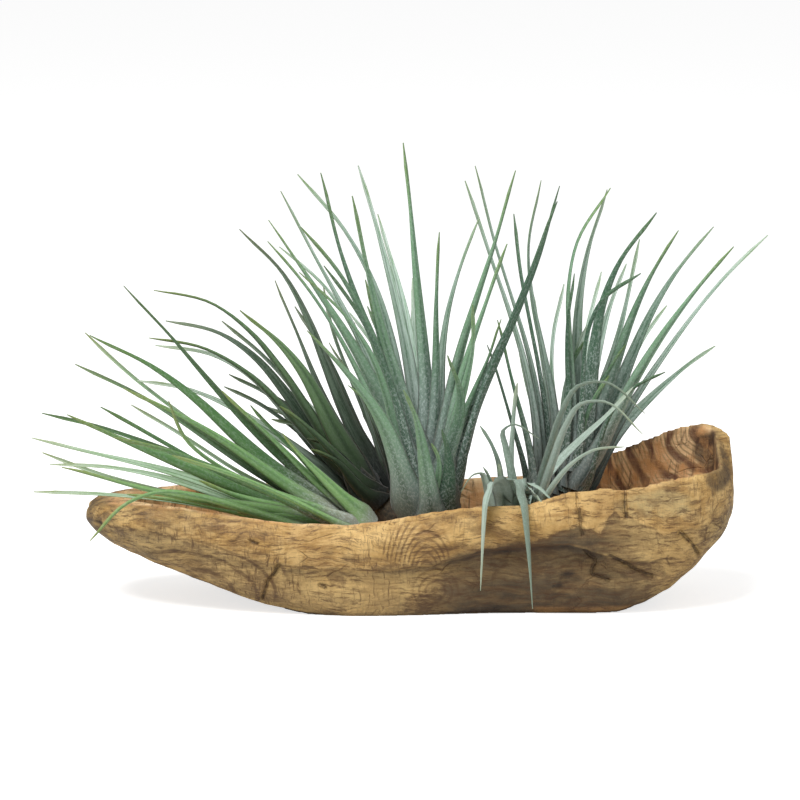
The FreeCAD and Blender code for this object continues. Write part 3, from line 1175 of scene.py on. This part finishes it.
@dataclass(frozen=True)
class LeafFinish:
    """A satin leaf: a silver foot with a felt of scales, a greener blade and an olive tip, with painted shade in
    its channel, along its margins near the foot and deep in the rosette.
    """

    face: Face
    foot: Colour
    blade: Colour
    blade_dark: Colour
    tip: Colour
    silver_until: float
    speckle: float
    silvered: float
    # How strong the painted shade deep in the rosette is.
    depth: float
    bloom: Colour = srgb(214, 228, 222)
    shadow: Colour = srgb(8, 12, 8)
    rim: Colour = srgb(92, 84, 58)
    relief: float = 0.00015
    sheen: float = 0.12
    sheen_roughness: float = 0.5

    def make(self) -> bpy.types.Material:
        """Builds the material.

        Returns:
            The material, which reads what the blades store along and across each leaf.
        """
        material, tree, shader = new_material(self.face.value)
        along, tone = tree.attribute("leaf_share"), tree.attribute("leaf_tone")
        side = tree.attribute("side_share").maths("ABSOLUTE")
        grain = tree.attribute("leaf_grain", "Vector")
        streaks = tree.streaks(grain, (60.0, 1400.0, 1.0), 0.0, 3.0, 0.6)
        scales = tree.streaks(grain, (420.0, 800.0, 1.0), 0.0, 3.0, 0.75)
        clouds = tree.noise(tree.place(), 45.0)
        silver = (along + (clouds - 0.5) * 0.25 + (tone - 0.5) * 0.15).between(self.silver_until, 0.05)
        face = tree.attribute("face_share").between(-0.3, 0.5)
        colour = tree.layered(
            tree.mix(self.blade_dark, self.blade, tone * 0.85 + streaks.between(0.3, 0.7) * 0.25 - 0.05),
            (self.foot, silver),
            (self.tip, along.between(0.72, 1.0) * 0.8),
            (self.bloom, face * (0.1 + 0.75 * tone) * streaks.between(0.3, 0.6) * self.silvered),
            (self.blade_dark, tone.between(0.5, 0.05) * 0.75),
            # Painted shade down the channel near the leaf's foot.
            (self.blade_dark, side.between(0.34, 0.0) * along.between(0.02, 0.25) * 0.55),
        )
        felt = scales.between(0.48, 0.6) * (silver * 0.8 + 0.2) * self.speckle
        colour = tree.layered(
            colour,
            (tree.mix(colour, self.bloom, 0.75), felt),
            # Painted shadow along the margins near the foot, and painted shade deep in the rosette.
            (self.shadow, side.between(0.66, 1.0) * along.between(0.7, 0.2) * 0.6),
            (self.shadow, tree.attribute("deep") * self.depth),
            (self.rim, side.between(0.82, 1.0) * 0.28),
        )
        feed(
            tree,
            shader,
            Base_Color=colour,
            Roughness=0.42 + 0.22 * silver + 0.1 * streaks,
            Normal=tree.bump(scales * 0.6 + streaks * 0.4, 0.5, self.relief),
        )
        shader.inputs["Sheen Weight"].default_value = self.sheen
        shader.inputs["Sheen Roughness"].default_value = self.sheen_roughness
        return material


@dataclass(frozen=True)
class StemFinish:
    """The dry brown skin of a stem."""

    name: str = "stem_skin"
    skin: Colour = srgb(48, 42, 32)
    fibre: Colour = srgb(84, 72, 54)
    scar: Colour = srgb(60, 46, 34)
    relief: float = 0.0004

    def make(self) -> bpy.types.Material:
        """Builds the material for the first stem, which the others share.

        Returns:
            The material.
        """
        if self.name in bpy.data.materials:
            return bpy.data.materials[self.name]
        material, tree, shader = new_material(self.name)
        fibres = tree.noise(tree.place(), 420.0, 4.0, 0.65)
        patches = tree.noise(tree.place(), 90.0)
        colour = tree.layered(
            self.skin,
            (self.fibre, fibres.between(0.35, 0.65)),
            (self.scar, patches.between(0.55, 0.7) * 0.7),
        )
        bump = tree.bump(fibres, 0.7, self.relief)
        feed(tree, shader, Base_Color=colour, Roughness=0.7 + 0.2 * patches, Normal=bump)
        return material


@dataclass
class Course:
    """The course of one leaf: its midrib, the way across it, the side that faces the stem, its half width."""

    midrib: np.ndarray
    across: np.ndarray
    inward: np.ndarray
    half: np.ndarray

    def smooth(self, stations: int) -> "Course":
        """The same course in more stations, on a smooth curve.

        Args:
            stations: How many.

        Returns:
            The finer course.
        """
        gaps = np.linalg.norm(np.diff(self.midrib, axis=0), axis=1)
        old = np.concatenate([[0], np.cumsum(gaps)]) / gaps.sum()
        new = np.linspace(0, 1, stations)
        return Course(
            spline(old, self.midrib, new),
            unit(spline(old, self.across, new)),
            unit(spline(old, self.inward, new)),
            np.interp(new, old, self.half),
        )


def spline(knots: np.ndarray, rows: np.ndarray, at: np.ndarray) -> np.ndarray:
    """Rows interpolated on a smooth cubic through the knots.

    Args:
        knots: Rising places of the given rows.
        rows: One row for each knot.
        at: Places to work out.

    Returns:
        One row for each place.
    """
    slopes = np.gradient(rows, knots, axis=0)
    cell = np.clip(np.searchsorted(knots, at, side="right") - 1, 0, len(knots) - 2)
    width = (knots[cell + 1] - knots[cell])[:, None]
    share = ((at - knots[cell])[:, None]) / width
    start = (1 + 2 * share) * (1 - share) ** 2 * rows[cell]
    end = share ** 2 * (3 - 2 * share) * rows[cell + 1]
    leave = share * (1 - share) ** 2 * width * slopes[cell]
    arrive = share ** 2 * (share - 1) * width * slopes[cell + 1]
    return start + end + leave + arrive


def leaf_courses(node: str) -> list[Course]:
    """The courses of a CAD node's leaves, each a chain of rings of four corners.

    Args:
        node: Name of the node.

    Returns:
        One course for each leaf, from its foot to its tip.
    """
    corners, triangles = merged_points(node)
    near: list[set[int]] = [set() for _ in corners]
    for triangle in triangles.tolist():
        for one in triangle:
            near[one].update(other for other in triangle if other != one)
    left = set(range(len(corners)))
    courses = []
    while left:
        island = {min(left)}
        edge = set(island)
        while edge:
            edge = set().union(*(near[one] for one in edge)) - island
            island |= edge
        left -= island
        courses.append(_course_of(corners, near, sorted(island)))
    return courses


def _course_of(corners: np.ndarray, near: list[set[int]], island: list[int]) -> Course:
    """The course of one leaf, read from its rings.

    Args:
        corners: All corners of the node.
        near: The neighbours of each corner.
        island: The corners of this leaf.

    Returns:
        The leaf's course.
    """
    pairs = [(one, other) for one in island for other in near[one] if one < other]
    shortest = min(pairs, key=lambda pair: float(np.linalg.norm(corners[pair[0]] - corners[pair[1]])))
    middle = corners[list(shortest)].mean(axis=0)
    ring = sorted(island, key=lambda one: float(np.linalg.norm(corners[one] - middle)))[:4]
    rings = [ring]
    seen = set(ring)
    while len(seen) < len(island):
        ring = sorted(set().union(*(near[one] for one in ring)) - seen)
        seen |= set(ring)
        rings.append(ring)
    rings.reverse()
    midrib, across, inward, half = [], [], [], []
    for ring in rings:
        places = corners[ring]
        spans = {(a, b): float(np.linalg.norm(places[a] - places[b])) for a in range(4) for b in range(a)}
        first, second = max(spans, key=spans.get)
        rest = [k for k in range(4) if k not in (first, second)]
        centre = places[rest].mean(axis=0)
        side = places[first] - places[second]
        fold = (places[first] + places[second]) / 2 - centre
        if across and np.dot(side, across[-1]) < 0:
            side = -side
        spread = places[rest[0]] - places[rest[1]]
        if np.dot(spread, inward[-1] if inward else fold) < 0:
            spread = -spread
        midrib.append(centre)
        across.append(side / np.linalg.norm(side))
        inward.append(spread / np.linalg.norm(spread))
        half.append(np.linalg.norm(side) / 2)
    return Course(np.array(midrib), np.array(across), np.array(inward), np.array(half))


class BladeTree:
    """The Geometry Nodes tree that sweeps a channelled blade along each midrib."""

    NAME = "leaf_blades"

    def __init__(self) -> None:
        """Builds the tree, with named inputs for its sizes."""
        self.group = bpy.data.node_groups.new(self.NAME, "GeometryNodeTree")
        face = self.group.interface
        face.new_socket("Geometry", in_out="INPUT", socket_type="NodeSocketGeometry")
        self.sockets = {}
        for name, kind in (("Sides", "Int"), ("Thickness", "Float"), ("Material", "Material")):
            socket = face.new_socket(name, in_out="INPUT", socket_type="NodeSocket" + kind)
            self.sockets[name] = socket.identifier
        face.new_socket("Geometry", in_out="OUTPUT", socket_type="NodeSocketGeometry")
        self._build(Tree(self.group))

    @staticmethod
    def _named(tree: Tree, name: str, kind: str = "FLOAT") -> Wire:
        """A value that the midribs carry."""
        return tree.node("GeometryNodeInputNamedAttribute", {"Name": name}, data_type=kind)

    @staticmethod
    def _stored(tree: Tree, geometry: Wire, name: str, value: Wire, kind: str = "FLOAT") -> Wire:
        """The geometry with a value stored at its points.

        Args:
            tree: The tree.
            geometry: The geometry.
            name: The attribute's name.
            value: The value.
            kind: The value's type.

        Returns:
            The geometry that has it.
        """
        inputs = {"Geometry": geometry, "Name": name, "Value": value}
        return tree.node("GeometryNodeStoreNamedAttribute", inputs, data_type=kind, domain="POINT")

    def _build(self, tree: Tree) -> None:
        """Fills the tree: a round profile is swept along each midrib and laid out as a thin-edged blade.

        Args:
            tree: The tree.
        """
        given = self.group.nodes.new("NodeGroupInput")
        wires = {socket.name: Wire(tree, socket) for socket in given.outputs if socket.name}
        rails = tree.node("GeometryNodeMeshToCurve", {"Mesh": wires["Geometry"]})
        circle = {"Resolution": wires["Sides"], "Radius": 1.0}
        profile = tree.node("GeometryNodeCurvePrimitiveCircle", circle, mode="RADIUS")
        position = tree.node("GeometryNodeInputPosition")
        profile = self._stored(tree, profile, "round_place", position, "FLOAT_VECTOR")
        swept = {"Curve": rails, "Profile Curve": profile, "Fill Caps": True}
        blade = tree.node("GeometryNodeCurveToMesh", swept)

        across, inward, spine, round_place = (
            self._named(tree, name, "FLOAT_VECTOR") for name in ("across", "inward", "spine", "round_place")
        )
        half, curl, body, run, tone = (
            self._named(tree, name) for name in ("half_width", "curl", "body", "run", "leaf_tone")
        )
        side, rise = round_place.part("X"), round_place.part("Y")
        turn = side * curl
        sine, cosine = turn.maths("SINE"), turn.maths("COSINE")
        thick = rise * body * wires["Thickness"] * 0.5
        out = half * sine / curl - thick * sine
        up = half * (1 - cosine) / curl + thick * cosine
        grain = tree.node("ShaderNodeCombineXYZ", {"X": run, "Y": side * half, "Z": tone})

        laid = {"Geometry": blade, "Position": spine + across * out + inward * up}
        blade = tree.node("GeometryNodeSetPosition", laid)
        blade = self._stored(tree, blade, "side_share", side)
        blade = self._stored(tree, blade, "face_share", rise)
        blade = self._stored(tree, blade, "leaf_grain", grain, "FLOAT_VECTOR")
        blade = tree.node("GeometryNodeSetShadeSmooth", {"Geometry": blade, "Shade Smooth": True})
        blade = tree.node("GeometryNodeRealizeInstances", {"Geometry": blade})
        blade = tree.node("GeometryNodeSetMaterial", {"Geometry": blade, "Material": wires["Material"]})
        result = self.group.nodes.new("NodeGroupOutput")
        self.group.links.new(blade.socket, result.inputs["Geometry"])

    def sweep(
        self,
        name: str,
        blades: Sequence["Blade"],
        material: bpy.types.Material,
        thickness: float,
        sides: int,
    ) -> bpy.types.Object:
        """Makes a piece of blades.

        Args:
            name: The piece's name.
            blades: Its blades.
            material: Their finish.
            thickness: Thickness of the fleshiest blade.
            sides: Corners round a blade.

        Returns:
            The piece, as a plain mesh.
        """
        mesh = bpy.data.meshes.new(name + "_midribs")
        spots = np.concatenate([blade.course.midrib for blade in blades])
        edges = []
        start = 0
        for blade in blades:
            count = len(blade.course.midrib)
            edges += [(k, k + 1) for k in range(start, start + count - 1)]
            start += count
        mesh.from_pydata(spots.tolist(), edges, [])
        for value in blades[0].stored():
            store(mesh, value, np.concatenate([blade.stored()[value] for blade in blades]))
        source = link_mesh(mesh.name, mesh)
        modifier = source.modifiers.new("blades", "NODES")
        modifier.node_group = self.group
        for socket, value in (("Sides", sides), ("Thickness", thickness), ("Material", material)):
            modifier[self.sockets[socket]] = value
        solid = plain_mesh(source)
        shape = bmesh.new()
        shape.from_mesh(solid)
        bmesh.ops.recalc_face_normals(shape, faces=shape.faces)
        shape.to_mesh(solid)
        shape.free()
        solid.name = name
        return link_mesh(name, solid)


@dataclass
class Blade:
    """One leaf ready to be swept, with what its finish reads: deep is 1 at the heart of the rosette, where the
    finish paints shade.
    """

    course: Course
    share: np.ndarray
    run: np.ndarray
    curl: np.ndarray
    body: np.ndarray
    # Strength of the painted shade at the heart of the rosette.
    deep: np.ndarray
    tone: float

    def stored(self) -> dict[str, np.ndarray]:
        """What the blade's midrib carries into the tree, by name.

        Returns:
            The values along the midrib, by name.
        """
        return {
            "spine": self.course.midrib,
            "across": self.course.across,
            "inward": self.course.inward,
            "half_width": self.course.half,
            "curl": self.curl,
            "body": self.body,
            "deep": self.deep,
            "run": self.run,
            "leaf_share": self.share,
            "leaf_tone": np.full(len(self.share), self.tone),
        }


@dataclass
class Axis:
    """A stem's axis: its foot and the way that it points."""

    foot: np.ndarray
    way: np.ndarray

    def reach(self, points: np.ndarray) -> tuple[np.ndarray, np.ndarray]:
        """How far up the axis points lie, and how far out from it."""
        up = (points - self.foot) @ self.way
        return up, np.linalg.norm(points - self.foot - np.outer(up, self.way), axis=1)


@dataclass
class AirPlant:
    """One rosette. Its leaves follow the CAD leaves, with more between them."""

    name: str
    finish: LeafFinish
    seed: int
    widen: float = 1.2
    sheath: float = 1.8
    sheath_reach: float = 0.2
    taper: float = 0.8
    foot_share: float = 1.0
    fillers: int = 6
    stations: int = 30
    sides: int = 14
    thickness: float = 0.0021
    wave: float = 0.0022
    twist_deg: float = 22.0
    channel: float = 0.95
    rim_height: float = 0.0
    hanging_widen: float = 1.0
    hanging_drop: float = 0.0
    # Height and radius of the painted shade round the stem's foot.
    rosette_shade_height: float = 0.11
    rosette_shade_radius: float = 0.06
    tip_half: float = 0.0012
    point_half: float = 0.0004
    nearest: float = 0.004
    # How the half width runs, over the share of the leaf's length.
    sheath_power: float = 1.5
    taper_from: float = 0.1
    waist: Ramp = Ramp(0.0, 0.35)
    point: Ramp = Ramp(1.0, 0.93)
    twist_power: float = 1.5
    # How the fold goes over from the stem's roundness to the leaf's own channel.
    fold_limits: Span = (0.2, 1.25)
    unfold: Ramp = Ramp(0.05, 0.3)
    channel_rise: float = 0.1
    # How fleshy the blade is.
    foot_body: float = 0.55
    fill: Ramp = Ramp(0.0, 0.15)
    thinning: float = 0.72
    # Spans of the random draws.
    wave_share: Span = (0.4, 1.0)
    wave_pace: Span = (1.2, 2.2)
    filler_mix: Span = (0.3, 0.7)
    filler_length: Span = (0.45, 0.8)
    filler_width: Span = (0.6, 0.95)
    filler_reach: int = 4
    stem_voxel: float = 0.0012
    scar_size: float = 0.006
    scar_depth: float = 0.0012
    groups: tuple[str, ...] = ("inner_leaves", "middle_leaves", "outer_leaves")

    def _axis(self) -> Axis:
        """The stem's axis, from the stem's corners and the way that the plant slides.

        Returns:
            The axis.
        """
        corners, _ = merged_points(self.name + "_stem")
        joint = next(joint for joint in frame["joints"] if joint["child"] == self.name)
        centre = corners.mean(axis=0)
        _, _, ways = np.linalg.svd(corners - centre, full_matrices=False)
        slide = np.array(joint["axis"])
        way = max(ways, key=lambda one: abs(float(np.dot(one, slide))))
        way = way * np.sign(np.dot(way, slide))
        return Axis(centre + way * float(((corners - centre) @ way).min()), way)

    def _blade(self, course: Course, axis: Axis, rng: np.random.Generator) -> Blade:
        """A course as a blade: wider at the sheath, a little wavy, channelled and thin at its edges.

        Args:
            course: The leaf's course.
            axis: The stem's axis.
            rng: The plant's random draws.

        Returns:
            The blade.
        """
        fine = course.smooth(self.stations)
        share = np.linspace(0, 1, self.stations)
        length = float(np.linalg.norm(np.diff(fine.midrib, axis=0), axis=1).sum())
        widest = float(course.half.max()) * self.widen
        if fine.midrib[-1, 2] < self.rim_height:
            widest *= self.hanging_widen
            fine.midrib[:, 2] -= np.clip(fine.midrib[:, 2] - self.rim_height, 0, None) * self.hanging_drop
        sheath = 1 + (self.sheath - 1) * np.clip(1 - share / self.sheath_reach, 0, 1) ** self.sheath_power
        taper = 1 - np.clip((share - self.taper_from) / (1 - self.taper_from), 0, 1) ** self.taper
        waist = self.foot_share + (1 - self.foot_share) * self.waist.of(share)
        least = self.tip_half * self.point.of(share) + self.point_half
        half = np.maximum(widest * sheath * taper * waist, least)

        tangent = unit(np.gradient(fine.midrib, axis=0))
        phase, pace = rng.uniform(0, 2 * math.pi), rng.uniform(*self.wave_pace)
        swing = self.wave * rng.uniform(*self.wave_share) * np.sin(math.pi * share)
        swing *= np.sin(phase + pace * math.pi * share)
        midrib = fine.midrib + fine.across * swing[:, None]
        turn = math.radians(self.twist_deg) * rng.uniform(-1, 1) * share ** self.twist_power
        across = fine.across * np.cos(turn)[:, None] + fine.inward * np.sin(turn)[:, None]
        across = unit(across - tangent * np.sum(across * tangent, axis=1, keepdims=True))
        inward = np.cross(tangent, across)
        inward *= np.sign(np.sum(inward * fine.inward, axis=1, keepdims=True))

        up, out = axis.reach(midrib)
        round_foot = np.clip(half / np.maximum(out, self.nearest), *self.fold_limits)
        unfold = self.unfold.of(share)
        return Blade(
            Course(midrib, across, inward, half),
            share,
            run=share * length,
            curl=round_foot * (1 - unfold) + (self.channel + self.channel_rise * share) * unfold,
            body=self.foot_body + (1 - self.foot_body) * self.fill.of(share) - self.thinning * share,
            deep=smooth_step(self.rosette_shade_height, 0.0, up) * smooth_step(self.rosette_shade_radius, self.nearest, out),
            tone=float(rng.uniform(0.0, 1.0)),
        )

    def _between(self, courses: list[Course], rng: np.random.Generator) -> Course:
        """A shorter leaf between two of the plant's leaves.

        Args:
            courses: The courses of the plant's leaves.
            rng: The plant's random draws.

        Returns:
            The new leaf's course.
        """
        first = courses[rng.integers(len(courses))]
        ways = np.array([unit(course.midrib[-1] - course.midrib[0]) for course in courses])
        here = unit(first.midrib[-1] - first.midrib[0])
        order = np.argsort(-(ways @ here))
        second = courses[order[min(len(order) - 1, int(rng.integers(1, self.filler_reach)))]]
        mix = rng.uniform(*self.filler_mix)
        size = rng.uniform(*self.filler_length)
        midrib = first.midrib * (1 - mix) + second.midrib * mix
        midrib = midrib[0] + (midrib - midrib[0]) * size
        sign = np.sign(np.sum(first.across * second.across, axis=1, keepdims=True))
        across = unit(first.across * (1 - mix) + second.across * sign * mix)
        inward = unit(first.inward * (1 - mix) + second.inward * mix)
        half = (first.half * (1 - mix) + second.half * mix) * rng.uniform(*self.filler_width)
        return Course(midrib, across, inward, half)

    def make(self, tree: BladeTree) -> None:
        """Builds the plant's pieces, the stem among them.

        Args:
            tree: The tree that sweeps the blades.
        """
        rng = np.random.default_rng(self.seed)
        axis = self._axis()
        material = self.finish.make()
        for group in self.groups:
            node = f"{self.name}_{group}"
            courses = leaf_courses(node)
            blades = [self._blade(course, axis, rng) for course in courses]
            for _ in range(self.fillers // len(self.groups)):
                blades.append(self._blade(self._between(courses, rng), axis, rng))
            piece = tree.sweep(node + "_blades", blades, material, self.thickness, self.sides)
            finish_piece(piece, self.name, [node])
        self._make_stem()

    def _make_stem(self) -> None:
        """Builds the stem, knobbly with old leaf scars."""
        node = self.name + "_stem"
        mesh = fine_copy(node, self.stem_voxel)
        points = read_rows(mesh.vertices, "co")
        depth = (Noise(self.seed).layers(points, self.scar_size, 2) - 0.9) * self.scar_depth
        points = points + read_rows(mesh.vertex_normals, "vector") * depth[:, None]
        move_points(mesh, np.clip(points, *(np.array(corner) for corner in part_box(node))))
        piece = dress(self.name + "_stub", mesh, StemFinish().make())
        finish_piece(piece, self.name, [node])


GREEN = LeafFinish(
    Face.GREEN,
    foot=srgb(168, 168, 156),
    blade=srgb(140, 184, 112),
    blade_dark=srgb(66, 108, 56),
    tip=srgb(140, 148, 74),
    silver_until=0.32,
    speckle=0.7,
    silvered=0.7,
    depth=0.6,
)
# The foot is near-black: the leaves' own dark green and painted shade at the heart of the fan together.
DARK = LeafFinish(
    Face.DARK,
    foot=srgb(54, 64, 54),
    blade=srgb(116, 152, 100),
    blade_dark=srgb(34, 60, 36),
    tip=srgb(126, 144, 72),
    silver_until=0.20,
    speckle=0.4,
    silvered=0.7,
    depth=1.0,
)
SILVER_GREEN = LeafFinish(
    Face.SILVER_GREEN,
    foot=srgb(160, 176, 172),
    blade=srgb(136, 178, 138),
    blade_dark=srgb(56, 94, 68),
    tip=srgb(126, 154, 82),
    silver_until=0.62,
    speckle=1.0,
    silvered=0.9,
    depth=0.95,
)
SILVER = LeafFinish(
    Face.SILVER,
    foot=srgb(178, 196, 184),
    blade=srgb(190, 210, 192),
    blade_dark=srgb(128, 150, 132),
    tip=srgb(166, 176, 140),
    silver_until=0.9,
    speckle=0.6,
    silvered=0.7,
    depth=0.8,
)
PLANTS = (
    AirPlant("left_plant", GREEN, 21, rosette_shade_height=0.06, rosette_shade_radius=0.03),
    AirPlant("fanned_plant", DARK, 22, rosette_shade_height=0.17, rosette_shade_radius=0.11),
    AirPlant("bulb_plant", SILVER_GREEN, 23, sheath=2.1, sheath_reach=0.28),
    AirPlant("right_plant", SILVER_GREEN, 24, fillers=9),
    AirPlant(
        "curly_plant",
        SILVER,
        25,
        widen=1.15,
        sheath=1.0,
        taper=1.7,
        foot_share=0.55,
        fillers=9,
        thickness=0.0015,
        wave=0.0012,
        channel=0.5,
        rim_height=0.080,
        hanging_widen=1.7,
        hanging_drop=0.6,
        rosette_shade_height=0.035,
        rosette_shade_radius=0.03,
    ),
)


def main() -> None:
    """Builds the scene, in order: camera, studio, bowl and plants."""
    logging.basicConfig(level=logging.INFO, format="%(message)s")
    View().make()
    Studio().make()
    Bowl().make()
    tree = BladeTree()
    for plant in PLANTS:
        plant.make(tree)


if __name__ == "__main__":
    main()
